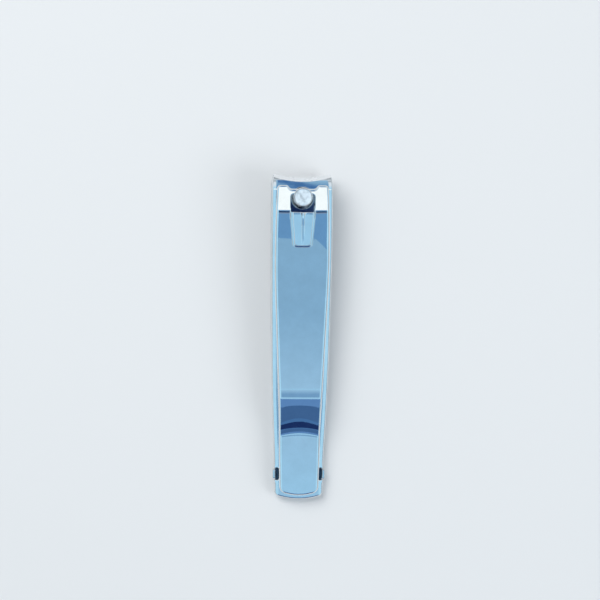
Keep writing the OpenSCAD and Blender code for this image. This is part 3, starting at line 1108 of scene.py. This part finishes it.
def pin_shape():
    """The pin's points, its faces, and which of its two materials each face takes."""
    levels = pin_levels()
    points, faces, picks = [], [], []
    ring = ARC + CHORD
    for level in levels:
        points += [worn(*point) for point in pin_ring(*level)]
    for k, level in enumerate(levels[:-1]):
        a, b = k * ring, (k + 1) * ring
        for i in range(ring):
            j = (i + 1) % ring
            faces.append((a + i, b + i, b + j, a + j))
            picks.append(1 if level[0] > END_Z else 0)
    faces.append(tuple(range(ring)))
    picks.append(0)
    faces.append(tuple((len(levels) - 1) * ring + i for i in reversed(range(ring))))
    picks.append(1)
    return points, faces, picks


pin = make_turned("pin_post", *pin_shape(), [TURNED_STEEL, SHEARED_STEEL])
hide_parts("pin")
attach(pin, "post")


def lathe(profile, x, y, n):
    """The points and faces of a profile of (radius, height), turned about an upright axis."""
    points, faces = [], []
    for radius, z in profile:
        for k in range(n):
            angle = 2 * math.pi * k / n
            points.append((x + radius * math.cos(angle), y + radius * math.sin(angle), z))
    for k in range(len(profile) - 1):
        for i in range(n):
            j = (i + 1) % n
            faces.append((k * n + i, k * n + j, (k + 1) * n + j, (k + 1) * n + i))
    faces.append(tuple(reversed(range(n))))
    faces.append(tuple((len(profile) - 1) * n + i for i in range(n)))
    return points, faces


rivet_profile = [
    (0.5, 0.03),
    (1.5, 0.03),
    (2.15, 0.02),
    (2.24, 0.04),
    (SHANK_R, SEAT_DEPTH),
    (SHANK_R, REAR_TOP - HEAD_T),
    (HEAD_R - 0.05, REAR_TOP - HEAD_T),
    (HEAD_R, REAR_TOP - HEAD_T + 0.05),
    (HEAD_R, REAR_TOP - 0.1),
    (HEAD_R - 0.05, REAR_TOP - 0.03),
    (HEAD_R - 0.17, REAR_TOP),
    (1.3, REAR_TOP - 0.02),
    (0.5, REAR_TOP - 0.05),
    (0.2, REAR_TOP - 0.06),
]
rivet_points, rivet_faces = lathe(rivet_profile, 0, RIVET_Y, 72)
rivet = make_turned("rivet", rivet_points, rivet_faces, [0] * len(rivet_faces), [TURNED_STEEL])
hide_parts("rear_rivet")
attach(rivet, "lower_arm")


# ---------------------------------------------------------------- floor, lights and camera


def muted(colour, keep=0.7):
    """The same colour mixed towards the grey that is as bright."""
    red, green, blue = colour
    grey = 0.21 * red + 0.72 * green + 0.07 * blue
    return tuple(grey + keep * (part - grey) for part in colour)


def panel(name, low, high, height, *colours):
    """A level card that only reflections see. It shapes what the polished faces mirror.

    low and high are its corners seen from above, in millimetres, and colours run from its -Y
    side to its +Y side.
    """
    (x0, y0), (x1, y1) = low, high
    colours = [muted(colour) for colour in colours]
    mesh = bpy.data.meshes.new(name)
    corners = [(x0, y0, height), (x1, y0, height), (x1, y1, height), (x0, y1, height)]
    mesh.from_pydata([[c * MM for c in corner] for corner in corners], [], [(0, 1, 2, 3)])
    material = bpy.data.materials.new(name)
    material.use_nodes = True
    nodes, links = material.node_tree.nodes, material.node_tree.links
    nodes.remove(nodes["Principled BSDF"])
    glow = nodes.new("ShaderNodeEmission")
    glow.inputs["Color"].default_value = (*colours[0], 1)
    if len(colours) > 1:
        place = nodes.new("ShaderNodeSeparateXYZ")
        links.new(nodes.new("ShaderNodeTexCoord").outputs["Generated"], place.inputs["Vector"])
        stops = [(k / (len(colours) - 1), colour) for k, colour in enumerate(colours)]
        links.new(ramp(nodes, links, place.outputs["Y"], stops), glow.inputs["Color"])
    links.new(glow.outputs["Emission"], nodes["Material Output"].inputs["Surface"])
    mesh.materials.append(material)
    card = bpy.data.objects.new(name, mesh)
    card.visible_camera = False
    card.visible_diffuse = False
    card.visible_shadow = False
    bpy.context.scene.collection.objects.link(card)


def lamp(name, place, aim, size, power, colour):
    """A soft area light that reflections don't see. Places and sizes are in metres."""
    data = bpy.data.lights.new(name, "AREA")
    data.shape = "RECTANGLE"
    data.size, data.size_y = size
    data.energy = power
    data.color = colour
    thing = bpy.data.objects.new(name, data)
    thing.location = place
    thing.visible_glossy = False
    way = Vector(aim) - Vector(place)
    thing.rotation_euler = way.to_track_quat("-Z", "Y").to_euler()
    bpy.context.scene.collection.objects.link(thing)


floor_mesh = bpy.data.meshes.new("floor")
floor_mesh.from_pydata(
    [(-3, -3, 0), (3, -3, 0), (3, 3, 0), (-3, 3, 0)], [], [(0, 1, 2, 3)]
)
floor_material, _, _, floor_surface = shader("floor")
floor_surface.inputs["Base Color"].default_value = (0.74, 0.755, 0.77, 1)
floor_surface.inputs["Roughness"].default_value = 0.75
floor_mesh.materials.append(floor_material)
floor = bpy.data.objects.new("floor", floor_mesh)
floor.location = (0, 0, cad_box[0].z)
bpy.context.scene.collection.objects.link(floor)

world = bpy.data.worlds.new("studio")
world.use_nodes = True
world.node_tree.nodes["Background"].inputs["Color"].default_value = (0.82, 0.88, 0.93, 1)
world.node_tree.nodes["Background"].inputs["Strength"].default_value = 0.5
bpy.context.scene.world = world

# The cards' colours, roughly from pale to dark.
WHITE, PEARL, RIM = (1.05, 1.14, 1.14), (0.75, 0.88, 0.98), (0.34, 0.8, 1.1)
BRIGHT, COOL, DIM = (0.25, 0.66, 0.99), (0.25, 0.59, 0.9), (0.172, 0.475, 0.77)
GREY, MIST, SEAM = (0.3, 0.36, 0.42), (0.163, 0.325, 0.57), (0.12, 0.39, 0.72)
SHADE, BLUE, PATCH = (0.075, 0.34, 0.7), (0.06, 0.27, 0.66), (0.012, 0.17, 0.5)
PALE, TEAL, NAVY = (0.022, 0.18, 0.49), (0.022, 0.14, 0.39), (0.002, 0.03, 0.16)
LENS = (0.002, 0.02, 0.1)

# A wide sky that the rolled edges mirror. The walls are level too: stripes beyond its edges.
STRIPES = [GREY, PEARL, GREY, PEARL, GREY, PEARL]
SKY, HEIGHT = 305, 300
panel("backdrop", (-450, -900), (450, 100), SKY, PEARL, RIM, RIM, RIM, RIM, RIM)
panel("front_wall", (-900, 100), (900, 900), SKY, RIM, PEARL, PEARL, GREY, PEARL, GREY, PEARL)
panel("left_wall", (-900, -900), (-450, 100), SKY, *STRIPES)
panel("right_wall", (450, -900), (900, 100), SKY, *STRIPES)
panel("dark_side_card", (560, -400), (900, 400), HEIGHT, NAVY)

# Cards that the lever's long straight, its crease and its tail mirror.
LEFT, RIGHT = -25, 52
panel("near_card", (LEFT, -112), (RIGHT, -32.5), HEIGHT, BRIGHT, COOL, DIM, DIM)
panel("seam_card", (LEFT, -150), (RIGHT, -112), HEIGHT, SEAM, SEAM, COOL)
panel("line_card", (LEFT, -182), (RIGHT, -150), HEIGHT, BRIGHT)

# Cards that the bends of its step mirror.
panel("blue_card", (-110, -235), (140, -182), HEIGHT, BLUE)
panel("teal_card", (-110, -405), (140, -235), HEIGHT, TEAL)
panel("pale_teal_card", (-150, -464), (180, -405), HEIGHT, PALE)
panel("navy_card", (-190, -760), (220, -464), HEIGHT, NAVY)

# Cards that the ears, the patches beside the fulcrum, the window and the lip mirror.
panel("shade_card", (LEFT, -32.5), (RIGHT, 57), HEIGHT, SHADE)
panel("lens_card", (LEFT, -2), (RIGHT, 38), HEIGHT - 5, MIST, MIST, LENS, LENS)
panel("white_card", (-120, 57), (150, 84), HEIGHT, WHITE)
panel("front_card", (LEFT, 84), (RIGHT, 620), HEIGHT, SHADE, DIM, COOL)
panel("lip_card", (9, 100), (19, 620), HEIGHT - 3, PATCH)

lamp("key", (-0.3, 0.35, 0.7), (0, 0.02, 0), (0.5, 0.5), 4.4, (1.0, 0.99, 0.97))
lamp("fill", (0.5, -0.2, 0.5), (0, 0, 0), (0.4, 0.4), 1.6, (0.94, 0.97, 1.0))


def aim_camera():
    """Nearly overhead, a little from the left, with the jaws at the top of the picture."""
    data = bpy.data.cameras.new("camera")
    data.lens = 180
    data.sensor_width = 36
    camera = bpy.data.objects.new("camera", data)
    target = Vector((-0.00025, 0.0095, 0.008))
    lean, tip, roll = math.radians(2.5), math.radians(1.5), math.radians(0.5)
    back = Vector((-math.sin(lean), math.sin(tip), math.cos(lean))).normalized()
    distance = 0.752
    camera.location = target + back * distance
    up = Vector((-math.sin(roll), math.cos(roll), 0))
    right = up.cross(back).normalized()
    up = back.cross(right).normalized()
    turn = Matrix((right, up, back)).transposed()
    camera.rotation_mode = "QUATERNION"
    camera.rotation_quaternion = turn.to_quaternion()
    bpy.context.scene.collection.objects.link(camera)
    bpy.context.scene.camera = camera


aim_camera()

view_settings = bpy.context.scene.view_settings
view_settings.view_transform = "Standard"
